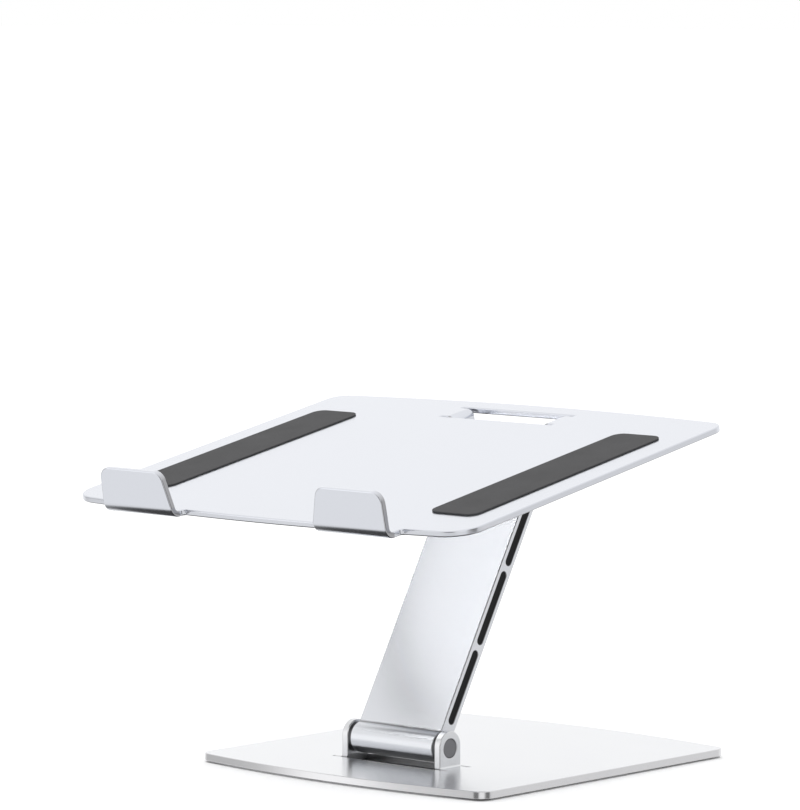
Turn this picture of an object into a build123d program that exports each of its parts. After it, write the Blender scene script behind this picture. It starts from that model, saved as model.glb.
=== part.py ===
from build123d import *
import os

# A folding laptop stand: a base plate, an extruded arm and a tray, joined by two friction hinges.
# Millimetres, X across the stand, Y towards the back, Z up.
# The origin is on the table, under the middle of the whole stand.

# Sheet metal
base_thickness = 4.0
tray_thickness = 3.2
bend_radius = 1.2             # inside radius of the ears' bends
edge_bevel = 0.4              # broken edge round every plate

# Base plate
base_width = 196.0
base_side_length = 194.0      # straight sides, between the ends of the bowed edges
base_bow = 9.3                # how far the front and back edges swell out at the middle
base_corner_radius = 8.0
base_middle = 32.9            # Y of the plate's middle

# Rubber feet under the base
foot_height = 0.9
foot_size = 29.0
foot_radius = 4.0
foot_inset = 3.5              # from the straight side, and from the corner line, to the foot

# Hinge ears, cut free in each plate and bent out of it
ear_width = 16.0
ear_axis_height = 10.0        # pin axis above the face that the ears stand on
ear_crown = 1.0               # the round end is struck from a centre this far past the pin
relief_width = 1.8            # slit beside an ear, so that the bend doesn't tear
relief_past_bend = 4.2

# Hinge pins and what is on them
pin_diameter = 10.0
pin_recess = 0.2              # pin end below the outer face of the ear
pin_chamfer = 0.4
press_fit = 0.02              # radial room of a pressed piece
running_fit = 0.04            # radial room of a turning fit
washer_diameter = 15.2
washer_thickness = 1.6
washer_bore_room = 0.1        # radial
washer_gap = 0.1              # between a washer and the end of the barrel
sleeve_diameter = 13.0
sleeve_length = 24.0
sleeve_split = 1.2
key_width = 2.4
key_height = 1.0

# Arm, one extrusion cut to length across the stand
arm_width = 56.4
arm_length = 173.5            # between the pin axes
arm_web = 9.6
barrel_diameter = 16.0
barrel_fillet = 3.0
chamber_width = 4.2
chamber_length = 41.2
chamber_pitch = 45.0
chamber_start = 13.0          # from the lower pin axis to the first chamber
chamber_count = 3
plug_depth = 7.0
plug_recess = 0.3

# Pose of the stand as it is used
arm_angle = 60.2              # arm above the table, leaning back
tray_tilt = 10.9              # tray, front edge low
hinge_y = -16.5               # lower pin axis

# Tray
tray_width = 269.0
tray_front = -192.0           # corner lines, from the upper pin axis
tray_back = 15.0
tray_bow = 7.0
tray_front_radius = 16.0
tray_back_radius = 10.0

# Hooks bent up from the tray's front edge
hook_face = -206.3            # outer face, from the upper pin axis
hook_inner_x = 48.4
hook_outer_x = 96.7
hook_inner_slope = 5.0        # the inner edge leans outwards by this much at the top
hook_outer_slope = 0.6
hook_height = 21.1            # above the tray
hook_bend_radius = 2.5
hook_corner_radius = 6.0
hook_root_fillet = 2.0

# Rubber on the tray and in the hooks
tray_pad_thickness = 0.8
tray_pad_width = 30.0
tray_pad_length = 150.0
tray_pad_x = 104.0
tray_pad_y = -92.0
tray_pad_radius = 6.0
hook_pad_thickness = 1.0
hook_pad_inset = 3.5

base_top = foot_height + base_thickness
hinge_z = base_top + ear_axis_height
washer_face = arm_width / 2 + washer_gap
ear_inner = washer_face + washer_thickness
tray_under = ear_axis_height
tray_top = tray_under + tray_thickness
tongue_front = hook_face + tray_thickness + hook_bend_radius
lower_axis = Pos(0, hinge_y, hinge_z) * Rot(X=arm_angle)
upper_axis = lower_axis * Pos(0, arm_length, 0)
tray_frame = Pos(*upper_axis.position) * Rot(X=tray_tilt)


def bowed_outline(width, front, back, bow, front_radius, back_radius):
    """Plate outline with straight sides, front and back edges struck as arcs, and rounded corners."""
    half = width / 2
    front_edge = ThreePointArc((-half, front), (0, front - bow), (half, front))
    back_edge = ThreePointArc((half, back), (0, back + bow), (-half, back))
    right_edge = Line((half, front), (half, back))
    left_edge = Line((-half, back), (-half, front))
    face = make_face([front_edge, right_edge, back_edge, left_edge])
    face = fillet(face.vertices().sort_by(Axis.Y)[:2], front_radius)
    return fillet(face.vertices().sort_by(Axis.Y)[-2:], back_radius)


def sheet_section(width, thickness):
    """Cross-section of a bent tongue: as wide as the tongue, as thick as the sheet, corners broken."""
    section = Rectangle(width, thickness)
    return chamfer(section.vertices(), edge_bevel)


def quarter_bend(width, thickness, radius):
    """A right-angle bend that leaves a sheet lying towards +X and ends standing up along +Z.

    The bend's axis is the Y axis, and the sheet's inner face is one radius away from it.
    """
    section = Pos(0, -radius - thickness / 2) * sheet_section(width, thickness)
    return revolve(Plane.YZ * section, axis=Axis.Y, revolution_arc=90)


def break_rim(solid, along, keep):
    """Bevel the rims of a flat piece on both of its faces, where keep says so of an edge's centre."""
    flats = solid.faces().sort_by(along)
    rims = flats[0].outer_wire().edges() + flats[-1].outer_wire().edges()
    return chamfer(rims.filter_by(lambda edge: keep(edge.center())), edge_bevel)


def ear(thickness):
    """Right hinge ear on a plate lying on Z = 0, its pin axis at Y = 0, with its bend and its root."""
    foot = thickness + bend_radius
    axis = thickness + ear_axis_height
    crown = axis + ear_crown
    tab = Pos(0, (foot + crown) / 2) * Rectangle(ear_width, crown - foot)
    tab += Pos(0, crown) * Circle(ear_width / 2)
    tab -= Pos(0, axis) * Circle(pin_diameter / 2 + press_fit)
    tab = Pos(ear_inner, 0, 0) * extrude(Plane.YZ * tab, amount=thickness)
    tab = break_rim(tab, Axis.X, lambda centre: centre.Z > foot + edge_bevel / 2)
    bend_end = ear_inner + thickness + bend_radius
    bend = Pos(bend_end, 0, foot) * quarter_bend(ear_width, thickness, bend_radius)
    root = extrude(Plane.YZ * sheet_section(ear_width, thickness), amount=relief_past_bend)
    return tab + bend + Pos(bend_end, 0, thickness / 2) * root


def lance(plate, thickness, axis_y):
    """Cut the hinge window in a plate lying on Z = 0 and stand its two ears in it, bent upwards."""
    window_x = 2 * (ear_inner + thickness + bend_radius + relief_past_bend)
    window_y = ear_width + 2 * relief_width
    plate -= Pos(0, axis_y, thickness / 2) * Box(window_x, window_y, thickness)
    right = Pos(0, axis_y, 0) * ear(thickness)
    return plate + right + mirror(right, about=Plane.YZ)


def make_base_plate():
    """Base plate with its bowed ends, hinge window and ears."""
    half = base_side_length / 2
    outline = bowed_outline(base_width, -half, half, base_bow, base_corner_radius, base_corner_radius)
    plate = break_rim(extrude(outline, amount=base_thickness), Axis.Z, lambda centre: True)
    return Pos(0, base_middle, foot_height) * lance(plate, base_thickness, hinge_y - base_middle)


def make_foot(side, end):
    """Flat square rubber foot with round corners, stuck under a corner of the base."""
    x = side * (base_width / 2 - foot_inset - foot_size / 2)
    y = base_middle + end * (base_side_length / 2 - foot_inset - foot_size / 2)
    outline = RectangleRounded(foot_size, foot_size, foot_radius)
    return Pos(x, y, 0) * extrude(outline, amount=foot_height)


def make_pin(axis, thickness):
    """Hinge pin pressed through both ears of a plate, its ends just below their faces."""
    length = 2 * (ear_inner + thickness - pin_recess)
    pin = Cylinder(pin_diameter / 2, length, rotation=(0, 90, 0))
    return axis * chamfer(pin.edges().filter_by(GeomType.CIRCLE), pin_chamfer)


def make_washer(axis, side):
    """Flat washer on a pin, between the end of the barrel and an ear."""
    bore = pin_diameter / 2 + washer_bore_room
    ring = Circle(washer_diameter / 2) - Circle(bore)
    washer = extrude(Plane.YZ * ring, amount=washer_thickness)
    x = washer_face if side > 0 else -ear_inner
    return axis * Pos(x, 0, 0) * washer


def make_sleeve(axis, side):
    """Split friction sleeve that grips the pin, with a key that stops it turning in the barrel."""
    reach = sleeve_diameter / 2 + key_height - running_fit
    ring = Circle(sleeve_diameter / 2 - press_fit)
    ring += Pos(reach / 2, 0) * Rectangle(reach, key_width)
    ring -= Circle(pin_diameter / 2 + running_fit)
    ring -= Pos(-sleeve_diameter / 2, 0) * Rectangle(sleeve_diameter, sleeve_split)
    sleeve = extrude(Plane.YZ * ring, amount=sleeve_length)
    x = arm_width / 2 - sleeve_length if side > 0 else -arm_width / 2
    return axis * Pos(x, 0, 0) * sleeve


def chamber_middle(index):
    """Distance of a chamber's middle from the lower pin axis."""
    return chamber_start + chamber_length / 2 + index * chamber_pitch


def make_arm():
    """Arm extrusion: a barrel at each end of a web with long chambers, cut to length along X."""
    profile = Pos(arm_length / 2, 0) * Rectangle(arm_length, arm_web)
    profile += Circle(barrel_diameter / 2)
    profile += Pos(arm_length, 0) * Circle(barrel_diameter / 2)
    profile = fillet(profile.vertices(), barrel_fillet)
    keyway_reach = sleeve_diameter / 2 + key_height
    socket = Circle(sleeve_diameter / 2)
    socket += Pos(keyway_reach / 2, 0) * Rectangle(keyway_reach, key_width)
    profile -= socket
    profile -= Pos(arm_length, 0) * Rot(Z=180) * socket
    for index in range(chamber_count):
        profile -= Pos(chamber_middle(index), 0) * SlotOverall(chamber_length, chamber_width)
    arm = extrude(Plane.YZ * profile, amount=arm_width / 2, both=True)
    return lower_axis * break_rim(arm, Axis.X, lambda centre: True)


def make_plug(side, index):
    """Black plug that closes one end of a chamber, a little below the arm's side."""
    face = SlotOverall(chamber_length - 2 * press_fit, chamber_width)
    plug = extrude(Plane.YZ * face, amount=plug_depth)
    x = arm_width / 2 - plug_recess - plug_depth if side > 0 else -arm_width / 2 + plug_recess
    return lower_axis * Pos(x, chamber_middle(index), 0) * plug


def hook_outline(inset=0.0):
    """Right hook seen from the front: straight outer edge, slanted inner edge, round top corners."""
    low = hook_bend_radius
    high = hook_height - inset
    corners = [
        (hook_inner_x + inset, low),
        (hook_outer_x - inset, low),
        (hook_outer_x - hook_outer_slope - inset, high),
        (hook_inner_x + hook_inner_slope + inset, high),
    ]
    face = make_face(Polyline(*corners, close=True))
    return fillet(face.vertices().sort_by(Axis.Y)[-2:], hook_corner_radius - inset / 2)


def make_hook():
    """Right hook on a plate whose top is Z = 0: upright tab and bend, outer face at Y = 0."""
    tab = extrude(Plane.XZ * hook_outline(), amount=-tray_thickness)
    tab = break_rim(tab, Axis.Y, lambda centre: centre.Z > hook_bend_radius + edge_bevel / 2)
    bend = quarter_bend(hook_outer_x - hook_inner_x, tray_thickness, hook_bend_radius)
    middle = (hook_outer_x + hook_inner_x) / 2
    return tab + Pos(middle, tongue_front - hook_face, hook_bend_radius) * Rot(Z=90) * bend


def make_tray_plate():
    """Tray with bowed ends, two hooks at its front edge and hinge ears bent down near its back."""
    outline = bowed_outline(
        tray_width, tray_front, tray_back, tray_bow, tray_front_radius, tray_back_radius
    )
    tongue_length = tray_front - tongue_front
    tongue = Rectangle(hook_outer_x - hook_inner_x, tongue_length, align=(Align.MIN, Align.MIN))
    for x in (hook_inner_x, -hook_outer_x):
        outline += Pos(x, tongue_front) * tongue
    below_tips = outline.vertices().sort_by(Axis.Y)[4:]
    outline = fillet(below_tips[:4], hook_root_fillet)
    plate = extrude(outline, amount=tray_thickness)
    plate = break_rim(plate, Axis.Z, lambda centre: centre.Y > tongue_front + edge_bevel)
    plate = lance(plate, tray_thickness, 0.0)
    plate = mirror(plate, about=Plane.XY.offset(tray_thickness / 2))
    hook = Pos(0, hook_face, tray_thickness) * make_hook()
    return tray_frame * Pos(0, 0, tray_under) * (plate + hook + mirror(hook, about=Plane.YZ))


def make_tray_pad(side):
    """Thin rubber pad along one side of the tray."""
    face = RectangleRounded(tray_pad_width, tray_pad_length, tray_pad_radius)
    pad = extrude(face, amount=tray_pad_thickness)
    return tray_frame * Pos(side * tray_pad_x, tray_pad_y, tray_top) * pad


def make_hook_pad(side):
    """Rubber on the inner face of a hook, where the load leans."""
    pad = extrude(Plane.XZ * hook_outline(hook_pad_inset), amount=-hook_pad_thickness)
    pad = Pos(0, hook_face + tray_thickness, tray_top) * pad
    if side < 0:
        pad = mirror(pad, about=Plane.YZ)
    return tray_frame * pad


parts = {}
sides = {"left": -1, "right": 1}
ends = {"front": -1, "back": 1}
levels = ("low", "middle", "high")

parts["base_plate"] = make_base_plate()
for end, end_sign in ends.items():
    for side, side_sign in sides.items():
        parts[f"foot_{end}_{side}"] = make_foot(side_sign, end_sign)

parts["arm"] = make_arm()
for side, side_sign in sides.items():
    for index, level in enumerate(levels):
        parts[f"chamber_plug_{side}_{level}"] = make_plug(side_sign, index)

hinges = {
    "lower": (lower_axis, lower_axis, base_thickness),
    "upper": (upper_axis, upper_axis * Rot(X=180), tray_thickness),
}
for name, (axis, keyed_axis, thickness) in hinges.items():
    parts[f"{name}_pin"] = make_pin(axis, thickness)
    for side, side_sign in sides.items():
        parts[f"{name}_washer_{side}"] = make_washer(axis, side_sign)
        parts[f"{name}_friction_sleeve_{side}"] = make_sleeve(keyed_axis, side_sign)

parts["tray_plate"] = make_tray_plate()
for side, side_sign in sides.items():
    parts[f"tray_pad_{side}"] = make_tray_pad(side_sign)
    parts[f"hook_pad_{side}"] = make_hook_pad(side_sign)

os.makedirs("parts", exist_ok=True)
for name, part in parts.items():
    export_step(part, f"parts/{name}.step")
print(len(parts), "parts")
print("lower pin at", tuple(lower_axis.position), "upper pin at", tuple(upper_axis.position))
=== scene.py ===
import math

import bmesh
import bpy
import numpy as np
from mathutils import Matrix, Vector
from mathutils.geometry import tessellate_polygon


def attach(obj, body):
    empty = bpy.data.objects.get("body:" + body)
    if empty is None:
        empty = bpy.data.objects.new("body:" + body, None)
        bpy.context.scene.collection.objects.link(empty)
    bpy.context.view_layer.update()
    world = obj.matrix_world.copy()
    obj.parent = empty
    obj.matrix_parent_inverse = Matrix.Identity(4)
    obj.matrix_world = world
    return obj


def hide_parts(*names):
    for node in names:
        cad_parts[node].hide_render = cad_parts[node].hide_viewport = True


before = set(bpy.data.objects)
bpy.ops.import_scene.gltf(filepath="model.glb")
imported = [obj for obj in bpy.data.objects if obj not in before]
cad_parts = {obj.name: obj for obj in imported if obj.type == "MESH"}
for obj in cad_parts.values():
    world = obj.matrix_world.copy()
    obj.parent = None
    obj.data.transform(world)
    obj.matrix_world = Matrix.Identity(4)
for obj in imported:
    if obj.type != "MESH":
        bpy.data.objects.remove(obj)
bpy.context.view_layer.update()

# BASE PLATE
# Four millimetre aluminium sheet, laser cut to a bowed outline, with two hinge ears lanced out of it and
# bent up. The edges are broken all round, and the plate is bead blasted and clear anodised to a satin silver.
base_width, base_side_length, base_bow, base_corner = 0.196, 0.194, 0.0093, 0.008
base_thickness, base_under, base_middle_y = 0.004, 0.0009, 0.0329
edge_round, wall_support, seam_gap = 0.00045, 0.00015, 2e-6
hinge_y, hinge_z = -0.0165, 0.0149
ear_inner, ear_width, ear_axis_height, ear_crown = 0.0299, 0.016, 0.010, 0.001
ear_bend, relief_width, relief_past_bend = 0.0012, 0.0018, 0.0042
pin_radius, pin_room = 0.005, 0.00003


def arc(x, y, radius, start, end, steps):
    """Points on a circle about (x, y), from one angle to another in degrees, both ends included."""
    a = np.radians(np.linspace(start, end, steps))
    return np.stack([x + radius * np.cos(a), y + radius * np.sin(a)], 1)


def supported(path, closed=True, reach=0.0004):
    """Adds a point close to each end of every long run, so that straight stretches shade flat."""
    onward = np.roll(path, -1, 0)
    length = np.linalg.norm(onward - path, axis=1, keepdims=True)
    step = (onward - path) / np.maximum(length, 1e-12) * reach
    trio = np.stack([path, path + step, onward - step], 1)
    keep = np.ones(trio.shape[:2], bool)
    keep[:, 1:] = length > 4 * reach
    keep[-1, 1:] &= closed
    return trio[keep]


def bowed_corners(half, front, bow, radius):
    """Front edge of a bowed plate, a circle through (-half, front), (0, front - bow) and (half, front).

    A corner circle of the given radius touches the straight side x = half and that circle from inside.
    Gives the edge circle's centre height and radius, the corner centre's height and the touch point's angle.
    """
    big = (half * half + bow * bow) / (2 * bow)
    middle = front - bow + big
    corner = middle - math.sqrt((big - radius) ** 2 - (half - radius) ** 2)
    touch = math.degrees(math.atan2(corner - middle, half - radius))
    return middle, big, corner, touch


def left_normals(path, closed):
    """Mitre at each point of a path: the left normals n1, n2 of its runs give (n1 + n2) / (1 + n1.n2)."""
    way = np.roll(path, -1, 0) - path
    way /= np.maximum(np.linalg.norm(way, axis=1), 1e-12)[:, None]
    after = np.stack([-way[:, 1], way[:, 0]], 1)
    before = np.roll(after, 1, 0)
    if not closed:
        after[-1] = before[-1]
        before[0] = after[0]
    return (after + before) / (1 + (after * before).sum(1))[:, None]


def edge_profile(thickness, radius, wall, rounds, steps=5):
    """Edge of a sheet from its lower face to its upper one: quarter round, straight wall, quarter round.

    Columns are the inset from the outline, the height over the middle plane, and a mask of how much painted
    shade the edge takes: a given share on the wall and on the lower and upper round, none on the flats.
    """
    a = np.linspace(0, math.pi / 2, steps)
    half_wall = thickness / 2 - radius
    inset, rise = radius * (1 - np.cos(a)), half_wall + radius * np.sin(a)
    low, high = [np.maximum(share * np.sin(2 * a), wall * np.cos(a)) for share in rounds]
    foot = half_wall - min(wall_support, half_wall / 2)
    upper = np.concatenate([[[0, foot, wall]], np.stack([inset, rise, high], 1)])
    lower = np.concatenate([[[0, -foot, wall]], np.stack([inset, -rise, low], 1)])[::-1]
    return np.concatenate([lower, upper])


class Sheet:
    """Collects the faces of one piece of metal: edges carried along outlines, and the flats between them."""

    def __init__(self):
        self.points, self.quads, self.triangles, self.masks, self.count = [], [], [], [], 0

    def add(self, flat, mask, place):
        """Puts points (n, 3) of flat coordinates through the placing function and gives their numbers."""
        self.points.append(place(flat))
        self.masks.append(mask)
        numbers = np.arange(self.count, self.count + len(flat))
        self.count += len(flat)
        return numbers

    def rim(self, path, closed, profile, place, sides=False, hollow=None):
        """Carries the edge profile along a path with the metal on its left; gives the numbers as a grid.

        With sides, the mask fades with the slant of the edge: all of it on the sides, none across the end.
        With hollow, a mask for each point of the path, the edge takes at least so much of the painted shade.
        """
        normal = left_normals(path, closed)
        spot = path[:, None, :] + profile[None, :, :1] * normal[:, None, :]
        rise = np.broadcast_to(profile[None, :, 1:2], spot.shape[:2] + (1,))
        share = normal[:, 1:] ** 2 / (normal ** 2).sum(1, keepdims=True) if sides else np.ones((len(path), 1))
        mask = np.maximum(share * profile[None, :, 2], 0 if hollow is None else hollow[:, None]).ravel()
        flat = np.concatenate([spot, rise], 2).reshape(-1, 3)
        grid = self.add(flat, mask, place).reshape(spot.shape[:2])
        here, there = (grid, np.roll(grid, -1, 0)) if closed else (grid[:-1], grid[1:])
        corners = [here[:, :-1], there[:, :-1], there[:, 1:], here[:, 1:]]
        self.quads.append(np.stack(corners, -1).reshape(-1, 4))
        return grid

    def flats(self, loops, profile, paths):
        """Fills the faces between inset loops of point numbers: the outline first, then its holes."""
        inset = profile[0, 0]
        outline = [np.concatenate([p + inset * left_normals(p, c) for p, c in group]) for group in paths]
        filled = np.array(tessellate_polygon([[Vector((*p, 0)) for p in ring] for ring in outline]))
        ring = np.concatenate(outline)
        a, b, c = ring[filled[:, 0]], ring[filled[:, 1]], ring[filled[:, 2]]
        turn = (b[:, 0] - a[:, 0]) * (c[:, 1] - a[:, 1]) - (b[:, 1] - a[:, 1]) * (c[:, 0] - a[:, 0])
        filled = filled[:, ::int(np.sign(turn.sum()))]
        top = np.concatenate([grid[:, -1] for group in loops for grid in group])
        bottom = np.concatenate([grid[:, 0] for group in loops for grid in group])
        self.triangles += [top[filled], bottom[filled][:, ::-1]]

    def plate(
        self, groups, thickness, radius, place, wall=1.0, rounds=(1.0, 1.0), hollows=lambda path: None
    ):
        """A flat piece: groups of (path, closed) pieces, the outline first, then its holes."""
        profile = edge_profile(thickness, radius, wall, rounds)
        loops = [
            [self.rim(path, closed, profile, place, hollow=hollows(path)) for path, closed in group]
            for group in groups
        ]
        self.flats(loops, profile, groups)

    def tongue(
        self, tip, half_width, thickness, inner_radius, radius, origin, along, up,
        bends=12, hole=None, rounds=(1.0, 1.0),
    ):
        """A tongue that leaves a plate at origin, bends up through a quarter turn and ends in a flat tab.

        tip is the tab's outline in (length past the bend, place across), from one side round to the other.
        Point (s, q, t) of the flat tongue goes, with middle radius R and angle a = s/R, to
        (R-t) sin a along it and R - (R-t) cos a up; past the bend it goes on straight up.
        """
        middle = inner_radius + thickness / 2
        bent = middle * math.pi / 2
        across = np.cross(up, along)

        def place(flat):
            s, q, t = flat.T
            a = np.clip(s, 0, bent) / middle
            out = (middle - t) * np.sin(a) + np.minimum(s, 0)
            rise = middle - (middle - t) * np.cos(a) + np.maximum(s - bent, 0)
            return origin + out[:, None] * along + q[:, None] * across + rise[:, None] * up

        profile = edge_profile(thickness, radius, 1.0, rounds)
        s = np.linspace(0, bent, bends, endpoint=False)
        side = np.full_like(s, half_width)
        path = np.concatenate([np.stack([s, -side], 1), tip + [bent, 0], np.stack([s, side], 1)[::-1]])
        grid = self.rim(path, False, profile, place, sides=True)
        for column, turned in ((-1, 1), (0, -1)):
            left, right = grid[:bends + 1, column], grid[::-1][:bends + 1, column]
            strip = np.stack([left[:-1], left[1:], right[1:], right[:-1]], 1)
            self.quads.append(strip[:, ::turned])
        tab = path[bends:-bends]
        groups, loops = [[(tab, False)]], [[grid[bends:-bends]]]
        if hole is not None:
            pierced = hole + [bent, 0]
            groups.append([(pierced, True)])
            loops.append([self.rim(pierced, True, profile, place)])
        self.flats(loops, profile, groups)

    def make(self, name, material, body, slot, *nodes):
        """Joins the seams and makes the mesh: rounded edges and bends shade smooth, the flats shade flat."""
        quads, triangles = np.concatenate(self.quads), np.concatenate(self.triangles)
        mesh = bpy.data.meshes.new(name)
        mesh.from_pydata(np.concatenate(self.points), [], quads.tolist() + triangles.tolist())
        # The edge mask: how much of the piece's painted edge shade each point takes.
        mesh.attributes.new("edge", "FLOAT", "POINT").data.foreach_set("value", np.concatenate(self.masks))
        mesh.polygons.foreach_set("use_smooth", np.arange(len(quads) + len(triangles)) < len(quads))
        work = bmesh.new()
        work.from_mesh(mesh)
        bmesh.ops.remove_doubles(work, verts=work.verts, dist=seam_gap)
        work.to_mesh(mesh)
        work.free()
        mesh.materials.append(material)
        piece = bpy.data.objects.new(name, mesh)
        bpy.context.scene.collection.objects.link(piece)
        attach(piece, body)
        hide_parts(*nodes)


def link(tree, source, target):
    """Joins two sockets, each given as (node, socket name or number)."""
    tree.links.new(source[0].outputs[source[1]], target[0].inputs[target[1]])


def node(tree, kind, **values):
    """Adds a node; names of its own settings set those, any other name sets the input of that name."""
    made = tree.nodes.new(kind)
    for name, value in values.items():
        if hasattr(made, name):
            setattr(made, name, value)
        else:
            made.inputs[name.replace("_", " ")].default_value = value
    return made


def maths(tree, operation, *terms):
    """Adds a math node on terms that are numbers or (node, socket) pairs."""
    made = node(tree, "ShaderNodeMath", operation=operation)
    for place, term in enumerate(terms):
        if isinstance(term, tuple):
            link(tree, term, (made, place))
        else:
            made.inputs[place].default_value = term
    return made


def new_group(name, inputs, outputs):
    """Starts a shader node group with float inputs {name: default} and outputs {name: socket type}."""
    tree = bpy.data.node_groups.new(name, "ShaderNodeTree")
    for label, value in inputs.items():
        tree.interface.new_socket(label, in_out="INPUT", socket_type="NodeSocketFloat").default_value = value
    for label, kind in outputs.items():
        tree.interface.new_socket(label, in_out="OUTPUT", socket_type=kind)
    return tree, tree.nodes.new("NodeGroupInput"), tree.nodes.new("NodeGroupOutput")


def new_material(name, colour, metallic, roughness):
    """Starts a material whose Principled shader carries the values that hold all over the piece."""
    material = bpy.data.materials.new(name)
    material.use_nodes = True
    shader = material.node_tree.nodes["Principled BSDF"]
    shader.inputs["Base Color"].default_value = (*colour, 1)
    shader.inputs["Metallic"].default_value = metallic
    shader.inputs["Roughness"].default_value = roughness
    material.diffuse_color = (*colour, 1)
    return material, material.node_tree, shader


def tinted(tree, colour, shade):
    """Colour of a piece times the shade that a (node, socket) pair gives."""
    made = node(tree, "ShaderNodeMix", data_type="RGBA", blend_type="MULTIPLY", clamp_result=True)
    made.inputs["Factor"].default_value = 1.0
    made.inputs[6].default_value = (*colour, 1)
    link(tree, shade, (made, 7))
    return made


def raised(tree, shader, height, strength, depth):
    """Stands the grain that a (node, socket) pair gives up from the surface by the depth."""
    made = node(tree, "ShaderNodeBump", Strength=strength, Distance=depth)
    link(tree, height, (made, "Height"))
    link(tree, (made, "Normal"), (shader, "Normal"))


# Bead blasting leaves fine overlapping dimples with coarser pits between them, and the anodised film clouds
# very slightly over a hand's width.
blasted, blast_in, blast_out = new_group(
    "bead_blasted_film",
    {"Grain": 3200.0, "Roughness": 0.3, "Spread": 0.05, "Cloud": 0.03},
    {"Shade": "NodeSocketFloat", "Roughness": "NodeSocketFloat", "Height": "NodeSocketFloat"},
)
pit_share, noise_mean, edge_smoothing, blast_relief, blast_depth = 0.35, 0.5, -0.04, 0.02, 0.00003
blast_place = node(blasted, "ShaderNodeTexCoord")
dimples = node(blasted, "ShaderNodeTexVoronoi", feature="SMOOTH_F1", Smoothness=0.7)
pits = node(blasted, "ShaderNodeTexNoise", Detail=3.0)
film = node(blasted, "ShaderNodeTexNoise", Scale=16.0, Detail=2.0)
for texture in (dimples, pits, film):
    link(blasted, (blast_place, "Object"), (texture, "Vector"))
pit_scale = maths(blasted, "MULTIPLY", (blast_in, "Grain"), pit_share)
link(blasted, (blast_in, "Grain"), (dimples, "Scale"))
link(blasted, (pit_scale, 0), (pits, "Scale"))
height = maths(blasted, "ADD", (dimples, "Distance"), (pits, 0))
film_swing = maths(blasted, "SUBTRACT", (film, 0), noise_mean)
pit_swing = maths(blasted, "SUBTRACT", (pits, 0), noise_mean)
swing = maths(blasted, "ADD", (film_swing, 0), (pit_swing, 0))
cloud = maths(blasted, "MULTIPLY_ADD", (film_swing, 0), (blast_in, "Cloud"), 1.0)
rough = maths(blasted, "MULTIPLY_ADD", (swing, 0), (blast_in, "Spread"), (blast_in, "Roughness"))
link(blasted, (height, 0), (blast_out, "Height"))
link(blasted, (cloud, 0), (blast_out, "Shade"))
link(blasted, (rough, 0), (blast_out, "Roughness"))


def satin_aluminium(name, colour, painted_edge_shade, roughness):
    """Blasted and anodised aluminium: the film's clouding tints it, and broken edges are a little smoother.

    The edges are painted a darker shade, standing in for the shade they reflect, by the mesh's edge mask.
    """
    material, tree, shader = new_material(name, colour, 1.0, roughness)
    finish = node(tree, "ShaderNodeGroup", node_tree=blasted, Roughness=roughness)
    edge = node(tree, "ShaderNodeAttribute", attribute_name="edge")
    tint = tinted(tree, colour, (finish, "Shade"))
    # Painted shade on the edges, as much as the edge mask gives.
    edged = node(tree, "ShaderNodeMix", data_type="RGBA")
    edged.inputs[7].default_value = (*painted_edge_shade, 1)
    link(tree, (edge, "Fac"), (edged, "Factor"))
    link(tree, (tint, 2), (edged, 6))
    link(tree, (edged, 2), (shader, "Base Color"))
    smoothed = maths(tree, "MULTIPLY_ADD", (edge, "Fac"), edge_smoothing, (finish, "Roughness"))
    link(tree, (smoothed, 0), (shader, "Roughness"))
    raised(tree, shader, (finish, "Height"), blast_relief, blast_depth)
    return material


def bowed_side(half, front, back, bow, front_radius, back_radius, start=0.0):
    """Right half of a bowed outline: from x = start on the front edge round to the back edge's middle."""
    y, big, corner, touch = bowed_corners(half, front, bow, front_radius)
    yb, _, corner_b, touch_b = bowed_corners(half, -back, bow, back_radius)
    first = -math.degrees(math.acos(start / big))
    return np.concatenate([
        arc(0, y, big, first, touch, 41),
        arc(half - front_radius, corner, front_radius, touch, 0, 21)[1:],
        arc(half - back_radius, -corner_b, back_radius, 0, -touch_b, 21),
        arc(0, -yb, big, -touch_b, 90, 41)[1:],
    ])


def mirrored(side):
    """Joins the right half of an outline to its mirror image, walked the other way."""
    other = side[::-1] * [-1, 1]
    return np.concatenate([side, other[1:]])


def window_halves(y, bend_start):
    """The hinge window's edge in two pieces, back and front, each from one ear's bend to the other's.

    Each runs into the slit beside an ear, round the slit's end, along the window and into the other slit.
    """
    x, ear, slit = bend_start + relief_past_bend, ear_width / 2, ear_width / 2 + relief_width
    back = [(-bend_start, ear), (-x, ear), (-x, slit), (x, slit), (x, ear), (bend_start, ear)]
    back = supported(np.array(back), False)
    return [(back + [0, y], False), ([0, y] - back, False)]


def ear_tab(thickness, inner_radius):
    """Outline of an ear past its bend, straight sides and a round crown, and the round hole for the pin."""
    axis = ear_axis_height + thickness / 2 - (inner_radius + thickness / 2)
    half = ear_width / 2
    crown = axis + ear_crown
    outline = np.concatenate([[(0, -half)], arc(crown, 0, half, -90, 90, 37), [(0, half)]])
    return outline, arc(axis, 0, pin_radius + pin_room, 0, -360, 61)[:-1]


# The second colour is painted shade on the plate's broken edges and on the ears' walls.
anodised = satin_aluminium("satin_anodised_base", (0.80, 0.81, 0.83), (0.75, 0.75, 0.765), 0.25)

# The rolled sheet's grain runs across the plate, which draws reflections out from front to back.
rolled = node(anodised.node_tree, "ShaderNodeTangent", direction_type="RADIAL", axis="X")
rolled_shader = anodised.node_tree.nodes["Principled BSDF"]
rolled_shader.inputs["Anisotropic"].default_value = 0.6
link(anodised.node_tree, (rolled, 0), (rolled_shader, "Tangent"))

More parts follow.
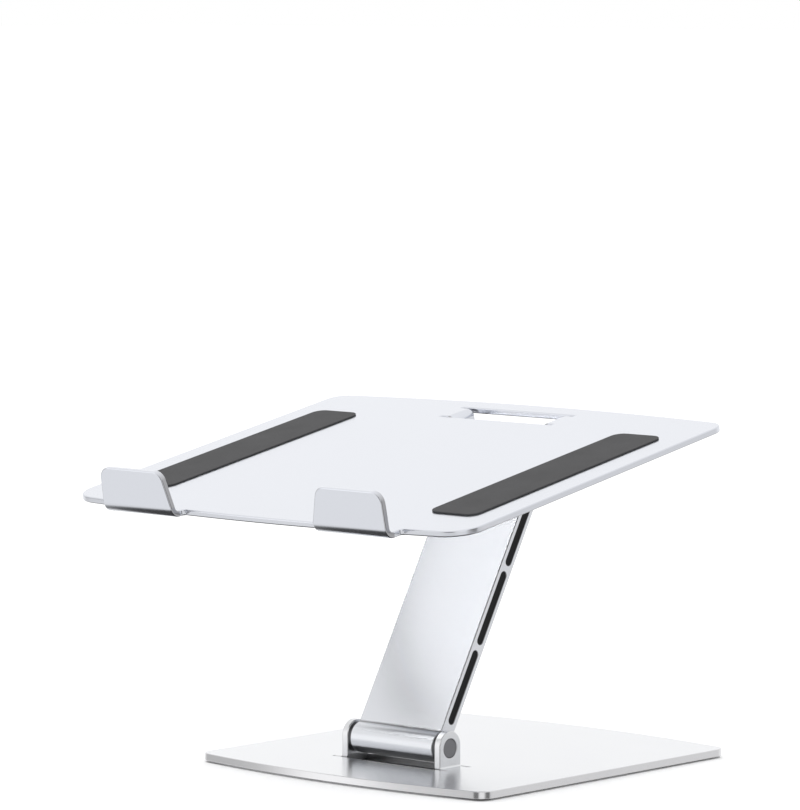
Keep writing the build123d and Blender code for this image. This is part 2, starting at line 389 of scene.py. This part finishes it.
base = Sheet()
base_middle = base_under + base_thickness / 2
base_bend = ear_inner + base_thickness + ear_bend
base_side = bowed_side(
    base_width / 2, -base_side_length / 2, base_side_length / 2, base_bow, base_corner, base_corner
)
base_outline = supported(mirrored(base_side)[:-1]) + [0, base_middle_y]
base.plate(
    [[(base_outline, True)], window_halves(hinge_y, base_bend)],
    base_thickness, edge_round, lambda flat: flat + [0, 0, base_middle],
)
tab, pin_hole = ear_tab(base_thickness, ear_bend)
for side in (1, -1):
    base.tongue(
        tab, ear_width / 2, base_thickness, ear_bend, edge_round,
        np.array([side * base_bend, hinge_y, base_middle]),
        np.array([-side, 0, 0.0]), np.array([0, 0, 1.0]), hole=pin_hole,
    )
base.make("base_sheet", anodised, "base", "aluminium_sheet", "base_plate")

# FEET
# Four thin pads of moulded black rubber, square with round corners, stuck under the base plate's corners.
# They lift the plate just off the table and keep it from sliding.
foot_size, foot_corner, foot_inset, foot_round = 0.029, 0.004, 0.0035, 0.0002


def rounded(corners, radius, steps=9):
    """Polygon with round corners: each arc touches both sides r / tan(h) from the corner.

    h is half the corner's angle. The arc turns evenly from one touching radius to the other, about a centre
    r / sin(h) from the corner.
    """
    corners = np.array(corners, float)
    back, ahead = np.roll(corners, 1, 0) - corners, np.roll(corners, -1, 0) - corners
    back /= np.linalg.norm(back, axis=1, keepdims=True)
    ahead /= np.linalg.norm(ahead, axis=1, keepdims=True)
    half = np.arccos((back * ahead).sum(1, keepdims=True)) / 2
    inward = (back + ahead) / np.linalg.norm(back + ahead, axis=1, keepdims=True)
    centre = corners + inward * radius / np.sin(half)
    first = corners + back * radius / np.tan(half) - centre
    last = corners + ahead * radius / np.tan(half) - centre
    turn, t = math.pi - 2 * half[:, None], np.linspace(0, 1, steps)[None, :, None]
    blend = np.sin((1 - t) * turn) * first[:, None] + np.sin(t * turn) * last[:, None]
    return centre[:, None] + blend / np.sin(turn)


def oblong(length, width, corner):
    """Closed outline of a rectangle with round corners, about its middle."""
    x, y = length / 2, width / 2
    return supported(rounded([(-x, -y), (x, -y), (x, y), (-x, y)], corner).reshape(-1, 2))


# Moulded rubber: a fine even grain from the mould, dust-grey where it catches light, and slow uneven matting.
rubber_skin, skin_in, skin_out = new_group(
    "moulded_rubber_skin",
    {"Grain": 2500.0, "Roughness": 0.6},
    {"Shade": "NodeSocketFloat", "Roughness": "NodeSocketFloat", "Height": "NodeSocketFloat"},
)
skin_shade_swing, skin_gloss_swing, skin_relief = 0.25, 0.12, 0.5
skin_place = node(rubber_skin, "ShaderNodeTexCoord")
skin_grain = node(rubber_skin, "ShaderNodeTexNoise", Detail=4.0, Roughness=0.65)
skin_cloud = node(rubber_skin, "ShaderNodeTexNoise", Scale=60.0, Detail=3.0)
for texture in (skin_grain, skin_cloud):
    link(rubber_skin, (skin_place, "Object"), (texture, "Vector"))
link(rubber_skin, (skin_in, "Grain"), (skin_grain, "Scale"))
skin_shade = node(
    rubber_skin, "ShaderNodeMapRange", To_Min=1 - skin_shade_swing, To_Max=1 + skin_shade_swing
)
link(rubber_skin, (skin_cloud, 0), (skin_shade, "Value"))
skin_gloss = node(rubber_skin, "ShaderNodeMapRange", To_Min=-skin_gloss_swing, To_Max=skin_gloss_swing)
link(rubber_skin, (skin_grain, 0), (skin_gloss, "Value"))
skin_rough = maths(rubber_skin, "ADD", (skin_gloss, 0), (skin_in, "Roughness"))
link(rubber_skin, (skin_grain, 0), (skin_out, "Height"))
link(rubber_skin, (skin_shade, 0), (skin_out, "Shade"))
link(rubber_skin, (skin_rough, 0), (skin_out, "Roughness"))


def moulded(name, colour, roughness, grain, depth, specular=0.4):
    """Moulded rubber or plastic: the skin varies its shade and gloss, and its grain stands up by depth."""
    material, tree, shader = new_material(name, colour, 0.0, roughness)
    shader.inputs["Specular IOR Level"].default_value = specular
    skin = node(tree, "ShaderNodeGroup", node_tree=rubber_skin, Grain=grain, Roughness=roughness)
    link(tree, (tinted(tree, colour, (skin, "Shade")), 2), (shader, "Base Color"))
    link(tree, (skin, "Roughness"), (shader, "Roughness"))
    raised(tree, shader, (skin, "Height"), skin_relief, depth)
    return material


foot_rubber = moulded("black_foot_rubber", (0.022, 0.022, 0.023), 0.62, 2600.0, 0.00003)
for end, end_sign in (("front", -1), ("back", 1)):
    for side, side_sign in (("left", -1), ("right", 1)):
        foot = Sheet()
        spot = [
            side_sign * (base_width / 2 - foot_inset - foot_size / 2),
            base_middle_y + end_sign * (base_side_length / 2 - foot_inset - foot_size / 2),
            base_under / 2,
        ]
        outline = oblong(foot_size, foot_size, foot_corner)
        foot.plate([[(outline, True)]], base_under, foot_round, lambda flat: flat + spot)
        foot.make(f"rubber_foot_{end}_{side}", foot_rubber, "base", "rubber_foot", f"foot_{end}_{side}")

# LOWER HINGE
# A ten millimetre steel pin pressed through both ears, its turned ends just below their faces, with a
# blackened steel washer at each end of the barrel. Inside the barrel two split spring-steel sleeves grip
# the pin.
ring_shade, ring_relief, ring_depth, chatter_swing = 0.12, 0.15, 0.00002, 0.08


def turned_steel(name, colour, roughness, y, z):
    """Steel faced on a lathe: fine rings about the hinge axis at (y, z), and chatter in their gloss."""
    material, tree, shader = new_material(name, colour, 1.0, roughness)
    place = node(tree, "ShaderNodeTexCoord")
    centred = node(tree, "ShaderNodeMapping", Location=(0, -y, -z))
    link(tree, (place, "Object"), (centred, "Vector"))
    rings = node(
        tree, "ShaderNodeTexWave", wave_type="RINGS", rings_direction="X",
        Scale=420.0, Distortion=0.6, Detail=2.0, Detail_Scale=3.0,
    )
    chatter = node(tree, "ShaderNodeTexNoise", Scale=900.0, Detail=3.0)
    link(tree, (centred, "Vector"), (rings, "Vector"))
    link(tree, (centred, "Vector"), (chatter, "Vector"))
    tint = node(tree, "ShaderNodeMix", data_type="RGBA")
    tint.inputs[6].default_value = (*[c * (1 - ring_shade) for c in colour], 1)
    tint.inputs[7].default_value = (*[c * (1 + ring_shade) for c in colour], 1)
    link(tree, (rings, 1), (tint, "Factor"))
    link(tree, (tint, 2), (shader, "Base Color"))
    low, high = roughness - chatter_swing, roughness + chatter_swing
    gloss = node(tree, "ShaderNodeMapRange", To_Min=low, To_Max=high)
    link(tree, (chatter, 0), (gloss, "Value"))
    link(tree, (gloss, 0), (shader, "Roughness"))
    raised(tree, shader, (rings, 1), ring_relief, ring_depth)
    return material


def dress(node_name, material):
    """Gives a piece that keeps its own solid its finish."""
    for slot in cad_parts[node_name].material_slots:
        slot.material = material


def dress_hinge(level, y, z):
    """Finishes one hinge's pin, washers and sleeves, their turning marks centred on its axis at (y, z)."""
    pin = turned_steel(f"turned_pin_steel_{level}", (0.23, 0.23, 0.24), 0.34, y, z)
    washer = turned_steel(f"blackened_washer_{level}", (0.125, 0.125, 0.13), 0.38, y, z)
    spring = turned_steel(f"spring_steel_{level}", (0.36, 0.36, 0.38), 0.3, y, z)
    dress(f"{level}_pin", pin)
    for side in ("left", "right"):
        dress(f"{level}_washer_{side}", washer)
        dress(f"{level}_friction_sleeve_{side}", spring)


dress_hinge("lower", hinge_y, hinge_z)

# ARM
# One aluminium extrusion, cut to length across the stand: a barrel at each end of a flat web with three
# long chambers. The cut ends are milled and their edges broken, then the arm is blasted and anodised like
# the plates.
arm_width, arm_length, arm_web, arm_angle = 0.0564, 0.1735, 0.0096, math.radians(60.2)
barrel, barrel_fillet, socket_radius, key_width, key_reach = 0.008, 0.003, 0.0065, 0.0024, 0.0075
chamber_width, chamber_length, chamber_pitch, chamber_start = 0.0042, 0.0412, 0.045, 0.013
chamber_count = 3
arm_along = np.array([0, math.cos(arm_angle), math.sin(arm_angle)])
arm_over = np.array([0, -math.sin(arm_angle), math.cos(arm_angle)])
lower_axis = np.array([0, hinge_y, hinge_z])


def arm_place(flat):
    """Puts a point of the profile, at so much along the arm, over it and across the stand, into the room."""
    return lower_axis + flat[:, :1] * arm_along + flat[:, 1:2] * arm_over + flat[:, 2:] * [1, 0, 0]


def arm_fillet():
    """A fillet's centre along and over the arm, and the slope of its line from the barrel's axis in degrees.

    The centre is one fillet radius off the web's face and a barrel plus a fillet radius from the axis.
    """
    rise = arm_web / 2 + barrel_fillet
    reach = math.sqrt((barrel + barrel_fillet) ** 2 - rise ** 2)
    return reach, rise, math.degrees(math.atan2(rise, reach))


def arm_fillet_shade(path):
    """Mask of painted shade in the hollows beside the barrels, the fillets between barrel and web.

    All four fillets are folded onto one. The mask falls evenly with the angle from the middle of its arc, to
    none at its ends.
    """
    reach, rise, lean = arm_fillet()
    middle, half = -135 + lean / 2, 45 - lean / 2
    along = np.minimum(path[:, 0], arm_length - path[:, 0]) - reach
    over = np.abs(path[:, 1]) - rise
    off = np.abs(np.degrees(np.arctan2(over, along)) - middle)
    on_arc = np.abs(np.hypot(along, over) - barrel_fillet) < seam_gap
    return np.where(on_arc, np.clip(1 - off / half, 0, 1), 0)


def arm_profile():
    """The extrusion's outline: fillet, barrel circle and fillet, then the same again at the far end."""
    reach, rise, lean = arm_fillet()
    low = np.concatenate([
        arc(reach, rise, barrel_fillet, -90, -180 + lean, 11)[:-1],
        arc(0, 0, barrel, lean, 360 - lean, 81),
        arc(reach, -rise, barrel_fillet, 180 - lean, 90, 11)[1:],
    ])
    return supported(np.concatenate([low, [arm_length, 0] - low]))


def socket(turned):
    """Bore of a barrel, walked clockwise, with the keyway that stops the friction sleeve from turning."""
    bite = math.degrees(math.asin(key_width / 2 / socket_radius))
    way = np.concatenate([
        arc(0, 0, socket_radius, -bite, bite - 360, 61),
        [(key_reach, key_width / 2), (key_reach, -key_width / 2)],
    ])
    return [arm_length, 0] - way if turned else way


def chamber(index):
    """Long hole with round ends, walked clockwise."""
    middle = chamber_start + chamber_length / 2 + index * chamber_pitch
    reach = (chamber_length - chamber_width) / 2
    return supported(np.concatenate([
        arc(middle + reach, 0, chamber_width / 2, 90, -90, 21),
        arc(middle - reach, 0, chamber_width / 2, -90, -270, 21),
    ]))


# The second colour is dark painted shade on the rounded edges of the cut ends and in the fillets beside the
# barrels.
extruded = satin_aluminium("satin_anodised_extrusion", (0.775, 0.79, 0.825), (0.30, 0.30, 0.31), 0.24)
arm = Sheet()
arm_paths = [arm_profile(), socket(False), socket(True)] + [chamber(i) for i in range(chamber_count)]
arm.plate(
    [[(path, True)] for path in arm_paths],
    arm_width, edge_round, arm_place, wall=0.0, hollows=arm_fillet_shade,
)
arm.make("arm_extrusion", extruded, "arm", "aluminium_extrusion", "arm")

# CHAMBER PLUGS
# Black plastic end plugs pressed into the chambers, a little below the arm's milled side.
# They are moulded with a fine spark texture on the face that shows.
plug_plastic = moulded("black_plug_plastic", (0.007, 0.007, 0.0075), 0.58, 3500.0, 0.00003, 0.22)
for side in ("left", "right"):
    for level in ("low", "middle", "high"):
        dress(f"chamber_plug_{side}_{level}", plug_plastic)

# UPPER HINGE
# The same pin, washers and sleeves as below, held by the tray's ears.
# The tray swings on the arm about this pin.
upper_axis = lower_axis + arm_length * arm_along
dress_hinge("upper", *upper_axis[1:])

# TRAY
# Three millimetre aluminium sheet with bowed front and back edges. Two tongues at the front are bent up as
# hooks, and two ears near the back are lanced out and bent down to hold the upper pin. It is finished like
# the base plate.
tray_width, tray_front, tray_back, tray_bow, tray_tilt = 0.269, -0.192, 0.015, 0.007, math.radians(10.9)
tray_front_corner, tray_back_corner, tray_thickness, tray_round = 0.016, 0.010, 0.0032, 0.0007
hook_face, hook_inner, hook_outer, hook_height = -0.2063, 0.0484, 0.0967, 0.0211
hook_inner_slope, hook_outer_slope, hook_corner, hook_bend, hook_root = 0.005, 0.0006, 0.006, 0.0025, 0.002
tray_along = np.array([0, math.cos(tray_tilt), math.sin(tray_tilt)])
tray_up = np.array([0, -math.sin(tray_tilt), math.cos(tray_tilt)])
tray_top = ear_axis_height + tray_thickness
tray_middle = ear_axis_height + tray_thickness / 2
tongue_front = hook_face + tray_thickness + hook_bend
hook_x, hook_half = (hook_outer + hook_inner) / 2, (hook_outer - hook_inner) / 2


def tray_place(level):
    """Placing function for flat pieces parallel to the tray, their middle plane so far over the upper pin."""
    return lambda flat: (
        upper_axis + flat[:, :1] * [1, 0, 0] + flat[:, 1:2] * tray_along + (flat[:, 2:] + level) * tray_up
    )


def tray_outline():
    """Tray's edge in two pieces: from the right hook round the back to the left one, and between the hooks.

    A fillet at a hook's root touches the hook's side and the bowed front edge from outside, so its centre is
    one fillet radius off that side, and the sum of both radii from the front circle's centre.
    """
    y, big, _, _ = bowed_corners(tray_width / 2, tray_front, tray_bow, tray_front_corner)
    outer, inner = hook_outer + hook_root, hook_inner - hook_root
    outer_y = y - math.sqrt((big + hook_root) ** 2 - outer ** 2)
    inner_y = y - math.sqrt((big + hook_root) ** 2 - inner ** 2)
    outer_turn = math.degrees(math.atan2(y - outer_y, -outer))
    inner_turn = math.degrees(math.atan2(y - inner_y, inner))
    side = bowed_side(
        tray_width / 2, tray_front, tray_back, tray_bow, tray_front_corner, tray_back_corner,
        outer * big / (big + hook_root),
    )
    right = np.concatenate([
        [(hook_outer, tongue_front)], arc(outer, outer_y, hook_root, 180, outer_turn, 11), side[1:],
    ])
    left = np.concatenate([
        [(-hook_inner, tongue_front)], arc(-inner, inner_y, hook_root, 180, inner_turn, 11),
        arc(0, y, big, -180 + inner_turn, -90, 21)[1:],
    ])
    return [(supported(mirrored(right), False), False), (supported(mirrored(left), False), False)]


def hook_tab(side):
    """A hook past its bend: slanted inner edge, almost upright outer edge and round top corners."""
    inner, outer, top = -side * hook_half, side * hook_half, hook_height - hook_bend
    inner_top, outer_top = inner + side * hook_inner_slope, outer - side * hook_outer_slope
    corners = [(0, inner), (top, inner_top), (top, outer_top), (0, outer)]
    if side < 0:
        corners = corners[::-1]
    arcs = rounded(corners, hook_corner, 13)
    path = np.concatenate([corners[:1], arcs[1], arcs[2], corners[3:]])
    return supported(path, False)


# The second colour is dark painted shade on the tray's lower edge round, a little of its edge walls, and the
# side walls of its ears and hooks.
tray_finish = satin_aluminium("satin_anodised_tray", (0.775, 0.795, 0.85), (0.42, 0.42, 0.435), 0.2)
tray = Sheet()
tray_bend = ear_inner + tray_thickness + ear_bend
tray.plate(
    [tray_outline(), window_halves(0.0, tray_bend)], tray_thickness, tray_round, tray_place(tray_middle),
    wall=0.12, rounds=(1.0, 0.0),
)
tab, pin_hole = ear_tab(tray_thickness, ear_bend)
for side in (1, -1):
    tray.tongue(
        tab, ear_width / 2, tray_thickness, ear_bend, tray_round,
        upper_axis + tray_middle * tray_up + side * tray_bend * np.array([1.0, 0, 0]),
        np.array([-side, 0, 0.0]), -tray_up, hole=pin_hole, rounds=(0.0, 0.0),
    )
    tray.tongue(
        hook_tab(side), hook_half, tray_thickness, hook_bend, tray_round,
        tray_place(tray_middle)(np.array([[side * hook_x, tongue_front, 0]]))[0],
        -tray_along, tray_up, bends=16, rounds=(0.0, 0.0),
    )
tray.make("tray_sheet", tray_finish, "tray", "aluminium_sheet", "tray_plate")

# TRAY AND HOOK PADS
# Thin grey rubber glued along both sides of the tray and on the inner face of each hook.
# They keep metal off metal; their edges are softly rounded from the mould.
pad_rubber = moulded("grey_pad_rubber", (0.055, 0.055, 0.058), 0.66, 2200.0, 0.00004)
pad_width, pad_length, pad_x, pad_y = 0.030, 0.150, 0.104, -0.092
pad_thickness, pad_corner, pad_round = 0.0008, 0.006, 0.0003
hook_pad_thickness, hook_pad_inset, hook_pad_round = 0.001, 0.0035, 0.00025
hook_pad_plane = hook_face + tray_thickness + hook_pad_thickness / 2
hook_pad_origin = upper_axis + hook_pad_plane * tray_along + tray_top * tray_up
for side, sign in (("left", -1), ("right", 1)):
    pad = Sheet()
    outline = oblong(pad_width, pad_length, pad_corner) + [sign * pad_x, pad_y]
    pad.plate([[(outline, True)]], pad_thickness, pad_round, tray_place(tray_top + pad_thickness / 2))
    pad.make(f"rubber_tray_pad_{side}", pad_rubber, "tray", "rubber_pad", f"tray_pad_{side}")

    cushion = Sheet()
    low, high = hook_bend, hook_height - hook_pad_inset
    near, far = hook_inner + hook_pad_inset, hook_outer - hook_pad_inset
    far_top, near_top = far - hook_outer_slope, near + hook_inner_slope
    corners = np.array([(near, low), (far, low), (far_top, high), (near_top, high)])
    arcs = rounded(corners, hook_corner - hook_pad_inset / 2, 13)
    outline = np.concatenate([corners[:2], arcs[2], arcs[3]]) * [sign, 1]
    cushion.plate(
        [[(supported(outline[::sign]), True)]], hook_pad_thickness, hook_pad_round,
        lambda flat: (
            hook_pad_origin + flat[:, :1] * [1, 0, 0] + flat[:, 1:2] * tray_up - flat[:, 2:] * tray_along
        ),
    )
    cushion.make(f"rubber_hook_pad_{side}", pad_rubber, "tray", "rubber_pad", f"hook_pad_{side}")

# FLOOR
# A plain pale sweep under the stand. The camera sees it white, and the stand's own soft shadow stays on it.
floor_reach, floor_grey, floor_camera_lift = 30, 0.88, 0.36
under_half_width, under_front, under_back, under_level, under_shade_grey = 0.095, -0.063, 0.129, 0.0002, 0.18


def flat_floor(name, half_width, front, back, level, material):
    """Level rectangle of one material, centred across the stand."""
    mesh = bpy.data.meshes.new(name)
    corners = [(-half_width, front), (half_width, front), (half_width, back), (-half_width, back)]
    mesh.from_pydata([(x, y, level) for x, y in corners], [], [(0, 1, 2, 3)])
    mesh.materials.append(material)
    made = bpy.data.objects.new(name, mesh)
    bpy.context.scene.collection.objects.link(made)
    return made


floor_material = bpy.data.materials.new("pale_floor")
floor_material.use_nodes = True
tree = floor_material.node_tree
floor_ray = node(tree, "ShaderNodeLightPath")
floor_tone = maths(tree, "MULTIPLY_ADD", (floor_ray, "Is Camera Ray"), floor_camera_lift, floor_grey)
matt = node(tree, "ShaderNodeBsdfDiffuse")
link(tree, (floor_tone, 0), (matt, "Color"))
link(tree, (matt, 0), (tree.nodes["Material Output"], "Surface"))
floor = flat_floor("floor", floor_reach, -floor_reach, floor_reach, 0, floor_material)
floor.visible_glossy = False

# A darker floor under the base plate, seen only in reflections: its low grey is painted shade on top of the
# real shade there, which the window's walls and the barrel reflect with what light gets in.
under_material = bpy.data.materials.new("floor_under_painted_shade")
under_material.use_nodes = True
under_shader = under_material.node_tree.nodes["Principled BSDF"]
under_shader.inputs["Base Color"].default_value = (under_shade_grey, under_shade_grey, under_shade_grey, 1)
under = flat_floor("floor_under_painted_shade", under_half_width, under_front, under_back, under_level, under_material)
under.visible_camera = under.visible_diffuse = under.visible_shadow = under.visible_transmission = False

# LIGHT AND CAMERA
# A white studio: even white all round for the camera, and for the metal a bright horizon with two dark gaps.
world = bpy.data.worlds.new("studio")
world.use_nodes = True
world.cycles.sampling_method = "NONE"
bpy.context.scene.world = world
tree = world.node_tree
output, plain = tree.nodes["World Output"], tree.nodes["Background"]
plain.inputs["Strength"].default_value = 1.0
plain.inputs["Color"].default_value = (1, 1, 1, 1)
toward = node(tree, "ShaderNodeTexCoord")
parts = node(tree, "ShaderNodeSeparateXYZ")
link(tree, (toward, "Generated"), (parts, "Vector"))
front = maths(tree, "MULTIPLY", (parts, "Y"), -1.0)
around = maths(tree, "ARCTAN2", (parts, "X"), (front, 0))
tilt = maths(tree, "ARCSINE", (parts, "Z"))


def ramp(tree, angle, half_turn, stops):
    """Greys over an angle that runs from minus to plus half a turn, from (degrees, grey) stops."""
    share = node(tree, "ShaderNodeMapRange", To_Min=0.0, To_Max=1.0)
    share.inputs["From Min"].default_value = -math.radians(half_turn)
    share.inputs["From Max"].default_value = math.radians(half_turn)
    link(tree, (angle, 0), (share, "Value"))
    made = node(tree, "ShaderNodeValToRGB")
    bar = made.color_ramp
    bar.interpolation = "EASE"
    while len(bar.elements) < len(stops):
        bar.elements.new(0.5)
    for element, (place, grey) in zip(bar.elements, stops):
        element.position = (place + half_turn) / (2 * half_turn)
        element.color = (grey, grey, grey, 1)
    link(tree, (share, 0), (made, "Fac"))
    return made


horizon = ramp(tree, around, 180, [
    (-180, 1.02), (-138, 1.14), (-105, 1.0), (-72, 0.55), (-55, 0.58), (-45, 1.26), (-39, 1.26),
    (-31, 0.8), (-17, 0.65), (-7, 0.1), (20, 0.1), (31, 1.0), (62, 1.0), (80, 0.1), (103, 0.1),
    (113, 0.74), (140, 0.80), (165, 1.0), (180, 1.02),
])
height_share = ramp(tree, tilt, 90, [(-90, 1.0), (-23, 1.0), (-10, 0.0), (8, 0.0), (34, 1.0), (90, 1.0)])
height_level = ramp(tree, tilt, 90, [
    (-90, 0.06), (-42, 0.06), (-29, 0.86), (-12, 0.90), (30, 0.95), (90, 1.0),
])
panorama = node(tree, "ShaderNodeMix", data_type="RGBA")
link(tree, (height_share, 0), (panorama, "Factor"))
link(tree, (horizon, 0), (panorama, 6))
link(tree, (height_level, 0), (panorama, 7))
studio = node(tree, "ShaderNodeBackground")
link(tree, (panorama, 2), (studio, "Color"))
ray = node(tree, "ShaderNodeLightPath")
choose = node(tree, "ShaderNodeMixShader")
link(tree, (ray, "Is Glossy Ray"), (choose, 0))
link(tree, (plain, 0), (choose, 1))
link(tree, (studio, 0), (choose, 2))
link(tree, (choose, 0), (output, "Surface"))


def gathered(name, pieces):
    """Collection of named pieces, for a light to fall on or to be stopped by."""
    made = bpy.data.collections.new(name)
    for piece in pieces:
        made.objects.link(bpy.data.objects[piece])
    return made


def aimed(name, data, place, direction):
    """Object that looks in a direction from a place, linked to the scene."""
    made = bpy.data.objects.new(name, data)
    made.location = place
    made.rotation_euler = Vector(direction).to_track_quat("-Z", "Y").to_euler()
    bpy.context.scene.collection.objects.link(made)
    return made


def round_light(name, size, brightness, place, direction):
    """Round area light that the camera can't see; its power is brightness times pi times size squared."""
    lamp = bpy.data.lights.new(name, "AREA")
    lamp.shape = "DISK"
    lamp.size = size
    lamp.energy = brightness * math.pi * size ** 2
    made = aimed(name, lamp, place, direction)
    made.visible_camera = False
    return made


key = round_light("key_softbox", 0.207, 0.865, (-0.0826, -0.1095, 0.2503), (0.664, 0.45, -0.598))
key.data.cycles.use_multiple_importance_sampling = False
key.light_linking.blocker_collection = gathered("key_blockers", ["base_sheet", "arm_extrusion"])
key.light_linking.receiver_collection = gathered("key_lit", ["arm_extrusion", "floor"])

# A small round light under the tray, for the crown of the right ear.
kicker = round_light("hinge_kicker", 0.016, 0.24, (0.0241, -0.0231, 0.0324), (0.6585, 0.1545, -0.736))
kicker.data.spread = math.radians(90)
kicker.light_linking.receiver_collection = gathered("kicker_lit", ["base_sheet"])

film_width, picture_height, focal_length, far_limit = 36, 810, 4994.9, 80
camera_data = bpy.data.cameras.new("camera")
camera_data.lens = film_width * focal_length / picture_height
camera_data.sensor_width = film_width
camera_data.clip_end = far_limit
camera = aimed("camera", camera_data, (1.70314, -1.92070, 0.40689), (-0.664441, 0.742587, -0.084826))
bpy.context.scene.camera = camera
bpy.context.scene.view_settings.view_transform = "Standard"
